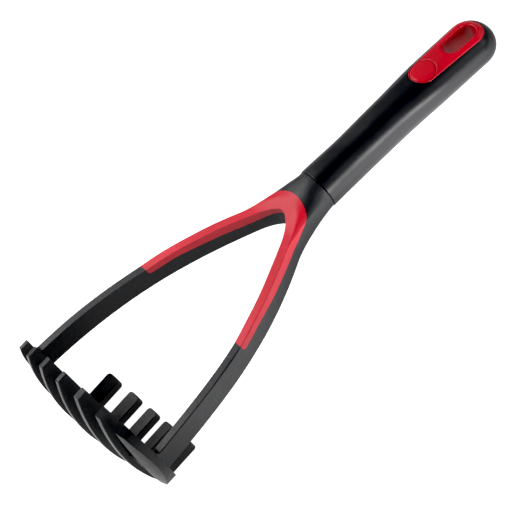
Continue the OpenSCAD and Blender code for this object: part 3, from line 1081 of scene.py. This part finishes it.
@dataclass
class HangInsert:
    """The red insert: a plate in the handle's skin, a sleeve through it and a plain disc.

    It is made in the plane of x and u, with how deep a point lies under the skin as third
    value, and then wrapped on the handle. Until then, flat_back and flat_through are how
    deep the plate's back and the sleeve's far end lie.
    """

    finish: bpy.types.Material
    seat: InsertFrame
    proud: float = -0.35
    flatness: float = 0.26
    rim: float = 0.36
    slot_rim: float = 1.1
    slot_rim_steps: int = 6
    groove: float = 0.46
    groove_depth: float = 0.38
    groove_edge: float = 0.12
    flat_back: float = 4.0
    flat_through: float = 20.0
    disc_sides: int = 96
    count: int = 112
    cell: tuple[float, float] = (0.9, 1.3)
    crisp: float = 40.0

    def loop_under(self, loop: list[Vector], depth: float) -> list[Vector]:
        """A loop at a depth under the skin.

        Args:
            loop: the loop.
            depth: millimetres under the skin.

        Returns:
            The loop's points at that depth.
        """
        return [Vector((p.x, p.y, depth)) for p in loop]

    def circle(self, radius: float, depth: float) -> list[Vector]:
        """A circle round the disc's centre.

        Args:
            radius: its radius.
            depth: millimetres under the skin.

        Returns:
            Its points.
        """
        up, hair = self.seat.disc_up, 0.0001
        loop = bar_loop(radius, up - hair, radius, up + hair, self.disc_sides)
        return self.loop_under(loop, depth)

    def side_and_sleeve(
        self, bm: bmesh.types.BMesh
    ) -> tuple[list[bmesh.types.BMEdge], dict[bmesh.types.BMVert, Vector]]:
        """From the plate's top edge over its side and through the sleeve to the slot's rim.

        Args:
            bm: the mesh to add to.

        Returns:
            The open edges, and the points that stay where they are when it is wrapped.
        """
        seat = self.seat
        fixed: dict[bmesh.types.BMVert, Vector] = {}

        def grow_fixed(loop: list[Vector], depth: float, heights: list[float]) -> None:
            """Grows a ring that keeps its own distances to the back."""
            for vert, height in zip(shell.grow(self.loop_under(loop, depth)), heights):
                fixed[vert] = seat.upright(vert.co.x, height, vert.co.y)

        shell = RingShell(bm, self.loop_under(seat.outline(self.rim, self.count), 0.0))
        top_edges = shell.edges()
        for w in map(math.radians, (30.0, 60.0, 90.0)):
            loop = seat.outline(self.rim * (1 - math.sin(w)), self.count)
            shell.grow(self.loop_under(loop, self.rim * (1 - math.cos(w))))
        floor = [seat.depth - seat.form.grip_radii[1]] * self.count
        grow_fixed(seat.outline(0.0, self.count), self.flat_back, floor)
        grow_fixed(seat.slot_loop(seat.wall, self.count), self.flat_back, floor)
        for outset, sink in ((seat.wall, 0.0), (0.5, 0.0), (0.15, 0.15), (0.0, 0.5)):
            loop = seat.slot_loop(outset, self.count)
            heights = [seat.skin(p.x, p.y, 1.0) - sink for p in loop]
            grow_fixed(loop, self.flat_through, heights)
        for i in range(self.slot_rim_steps + 1):
            w = math.pi / 2 * i / self.slot_rim_steps
            loop = seat.slot_loop(self.slot_rim * (1 - math.cos(w)), self.count)
            shell.grow(self.loop_under(loop, self.slot_rim * (1 - math.sin(w))))
        return top_edges + shell.edges(), fixed

    def front(self, bm: bmesh.types.BMesh, open_edges: list[bmesh.types.BMEdge]) -> None:
        """The plate's front with the disc's ring groove, cut in cells so that it can bend.

        Args:
            bm: the mesh to add to.
            open_edges: edges that the front runs to.
        """
        r, g, e = self.seat.disc_radius, self.groove, self.groove_edge
        deep, lip = self.groove_depth, self.groove_edge / 2
        disc = RingShell(bm, self.circle(r + e, 0.0))
        edges = open_edges + disc.edges()
        for radius, sink in ((r, lip), (r, deep), (r - g, deep), (r - g, lip), (r - g - e, 0.0)):
            disc.grow(self.circle(radius, sink))
        inner = bmesh.ops.contextual_create(bm, geom=disc.edges())["faces"]
        outer = bmesh.ops.triangle_fill(bm, use_beauty=True, edges=edges)["geom"]
        flat = set(inner) | {f for f in outer if isinstance(f, bmesh.types.BMFace)}
        wide, high = self.cell
        cuts = [((i * wide, 0.0, 0.0), (1.0, 0.0, 0.0)) for i in range(-9, 10)]
        cuts += [((0.0, self.seat.top - i * high, 0.0), (0.0, 1.0, 0.0)) for i in range(1, 37)]
        for place, way in cuts:
            flat = {f for f in flat if f.is_valid}
            geom = set(flat)
            for face in flat:
                geom.update(face.edges)
                geom.update(face.verts)
            made = bmesh.ops.bisect_plane(
                bm, geom=list(geom), dist=0.00001, plane_co=place, plane_no=way,
            )
            flat = {f for f in made["geom"] if isinstance(f, bmesh.types.BMFace)}

    def build(self) -> bpy.types.Object:
        """Builds and dresses the insert.

        Returns:
            The insert.
        """
        seat = self.seat
        bm = bmesh.new()
        open_edges, fixed = self.side_and_sleeve(bm)
        self.front(bm, open_edges)
        for vert in bm.verts:
            if vert in fixed:
                vert.co = fixed[vert]
            else:
                x, u, sink = vert.co
                crown = seat.skin(0.0, u, -1.0)
                skin = crown + (seat.skin(x, u, -1.0) - crown) * (1.0 - self.flatness)
                vert.co = seat.upright(x, skin - self.proud + sink, u)
        bmesh.ops.recalc_face_normals(bm, faces=bm.faces)
        # the faces agree now, but as a whole they can look inward
        if bm.calc_volume(signed=True) < 0.0:
            bmesh.ops.reverse_faces(bm, faces=bm.faces)
        bmesh.ops.transform(bm, matrix=LAID, verts=bm.verts)
        smooth_by_angle(bm, self.crisp)
        piece = new_object("hang_insert_moulded", bm)
        finish_piece(piece, self.finish)
        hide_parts("hang_insert")
        return piece


# ---- stage ----------------------------------------------------------------------


@dataclass(frozen=True)
class Softbox:
    """A softbox that faces a spot on the part from a distance.

    Angles are in degrees, lengths in metres and the power in watts.
    """

    name: str
    azimuth: float
    elevation: float
    power: float
    size: tuple[float, float] = (0.9, 0.9)
    distance: float = 2.0
    spot: tuple[float, float, float] = (0.0, 0.0, 0.03)
    spread: float = 180.0

    def build(self) -> None:
        """Sets the light up."""
        a, e = math.radians(self.azimuth), math.radians(self.elevation)
        way = Vector((math.cos(e) * math.cos(a), math.cos(e) * math.sin(a), math.sin(e)))
        data = bpy.data.lights.new(self.name, "AREA")
        data.shape = "RECTANGLE"
        data.size, data.size_y = self.size
        data.energy = self.power
        data.spread = math.radians(self.spread)
        obj = bpy.data.objects.new(self.name, data)
        obj.location = way * self.distance + Vector(self.spot)
        obj.rotation_euler = (-way).to_track_quat("-Z", "Y").to_euler()
        obj.visible_camera = False
        bpy.context.scene.collection.objects.link(obj)


@dataclass
class Studio:
    """A pale lit table, soft lights and the camera.

    The table glows with table_glow, and with more in a round patch beside the handle. In
    glossy reflections its glow is another: mirror_left goes with y and holds on the left,
    mirror_right goes with y and holds on the right, and mirror_across is where x parts them.
    """

    table_size: float = 8.0
    table_grey: tuple[float, float] = (0.38, 0.40)
    table_glow: float = 1.05
    mirror_left: tuple[float, float, float, float] = (-0.150, -0.132, 1.20, 0.22)
    mirror_right: tuple[float, float, float, float] = (-0.135, -0.085, 0.55, 1.70)
    mirror_across: tuple[float, float] = (0.024, 0.058)
    patch_glow: float = 4.2
    patch_spot: tuple[float, float] = (0.095, 0.090)
    patch_reach: tuple[float, float] = (0.12, 0.125)
    patch_full: float = 0.7
    surround: float = 0.004
    black_point: float = 0.0095
    eye: tuple[float, float, float] = (0.9161024, -0.1572963, 1.181484)
    eye_right: tuple[float, float, float] = (0.62090862, 0.66508171, -0.41489612)
    eye_up: tuple[float, float, float] = (-0.48056982, 0.74111765, 0.46882543)
    eye_back: tuple[float, float, float] = (0.61929406, -0.09171119, 0.77978454)
    lens: float = 207.0
    sensor: float = 36.0
    boxes: tuple[Softbox, ...] = (
        Softbox("front_left_high", 225.0, 58.0, 44.0),
        Softbox("left_high", 180.0, 58.0, 14.0),
        Softbox("left_low", 180.0, 28.0, 9.0),
        Softbox("back_low", 90.0, 28.0, 4.0),
        Softbox("right_back", 45.0, 28.0, 6.0),
        Softbox("handle_strip", 0.0, 7.0, 0.12, (0.20, 0.10), 0.36, (0.0, 0.100, 0.03), 50.0),
    )

    def floor(self) -> None:
        """A plain pale table top that glows, under the part."""
        bm = bmesh.new()
        bmesh.ops.create_grid(bm, x_segments=1, y_segments=1, size=self.table_size / 2)
        obj = new_object("floor", bm)
        sheet = NodeSheet("floor")
        fine = sheet.noise(3.0, 2.0)
        dark, light = ((grey,) * 3 for grey in self.table_grey)
        colour = sheet.ramp(fine, dark, light, 0.3, 0.7)
        sheet.join(colour, "Color", sheet.bsdf, "Base Color")
        sheet.bsdf.inputs["Roughness"].default_value = 0.9
        sheet.bsdf.inputs["Specular IOR Level"].default_value = 0.1
        sheet.bsdf.inputs["Emission Color"].default_value = (1.0, 1.0, 1.0, 1.0)
        sheet.join(self.glow(sheet), "Result", sheet.bsdf, "Emission Strength")
        obj.data.materials.append(sheet.material)

    def glow(self, sheet: NodeSheet) -> bpy.types.Node:
        """How strongly each place of the table glows.

        Args:
            sheet: the floor's material.

        Returns:
            The node that gives the strength.
        """
        place = sheet.add("ShaderNodeSeparateXYZ")
        sheet.join(sheet.coords, "Object", place, "Vector")
        left = sheet.remap(place, "Y", self.mirror_left, "SMOOTHSTEP")
        right = sheet.remap(place, "Y", self.mirror_right, "SMOOTHSTEP")
        mirrored = sheet.remap(place, "X", self.mirror_across, "SMOOTHSTEP")
        sheet.join(left, "Result", mirrored, "To Min")
        sheet.join(right, "Result", mirrored, "To Max")
        rays = sheet.add("ShaderNodeLightPath")
        table = sheet.remap(rays, "Is Glossy Ray", (0.0, 1.0, self.table_glow))
        sheet.join(mirrored, "Result", table, "To Max")
        patch = sheet.add("ShaderNodeMapping", vector_type="TEXTURE")
        patch.inputs["Location"].default_value = (*self.patch_spot, 0.0)
        patch.inputs["Scale"].default_value = (*self.patch_reach, 1.0)
        sheet.join(sheet.coords, "Object", patch, "Vector")
        ball = sheet.add("ShaderNodeTexGradient", gradient_type="SPHERICAL")
        sheet.join(patch, "Vector", ball, "Vector")
        reach = (0.0, self.patch_full, 0.0, self.patch_glow)
        strength = sheet.remap(ball, "Fac", reach, "SMOOTHSTEP")
        sheet.join(table, "Result", strength, "To Min")
        return strength

    def lights(self) -> None:
        """The softboxes and a dark surround."""
        for box in self.boxes:
            box.build()
        world = bpy.data.worlds.new("surround")
        bpy.context.scene.world = world
        world.use_nodes = True
        background = world.node_tree.nodes["Background"]
        background.inputs["Color"].default_value = (1.0, 1.0, 1.0, 1.0)
        background.inputs["Strength"].default_value = self.surround

    def camera(self) -> None:
        """The camera, high on the part's right."""
        turn = Matrix((self.eye_right, self.eye_up, self.eye_back)).transposed().to_4x4()
        data = bpy.data.cameras.new("camera")
        data.sensor_fit = "HORIZONTAL"
        data.sensor_width = self.sensor
        data.lens = self.lens
        data.clip_end = 20.0
        obj = bpy.data.objects.new("camera", data)
        obj.matrix_world = Matrix.Translation(Vector(self.eye)) @ turn
        bpy.context.scene.collection.objects.link(obj)
        bpy.context.scene.camera = obj

    def build(self) -> None:
        """Sets the whole stage."""
        self.floor()
        self.lights()
        self.camera()
        settings = bpy.context.scene.view_settings
        settings.view_transform = "Standard"
        settings.look = "None"
        settings.exposure = 0.0
        settings.use_curve_mapping = True
        settings.curve_mapping.black_level = (self.black_point,) * 3
        settings.curve_mapping.update()


def main() -> None:
    """Builds the scene in order."""
    logging.basicConfig(level=logging.INFO, format="%(message)s")
    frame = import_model()
    nodes = frame["nodes"]
    Studio().build()
    nylon = FRAME_NYLON.build()
    seat = InsertFrame(HandleForm())
    Head(nylon).build(nodes)
    Wishbone(nylon, SOFT_SKIN.build()).build(nodes)
    HandleShell(HANDLE_SHELL.build(), seat).build()
    HangInsert(INSERT_RED.build(), seat).build()


if __name__ == "__main__":
    main()
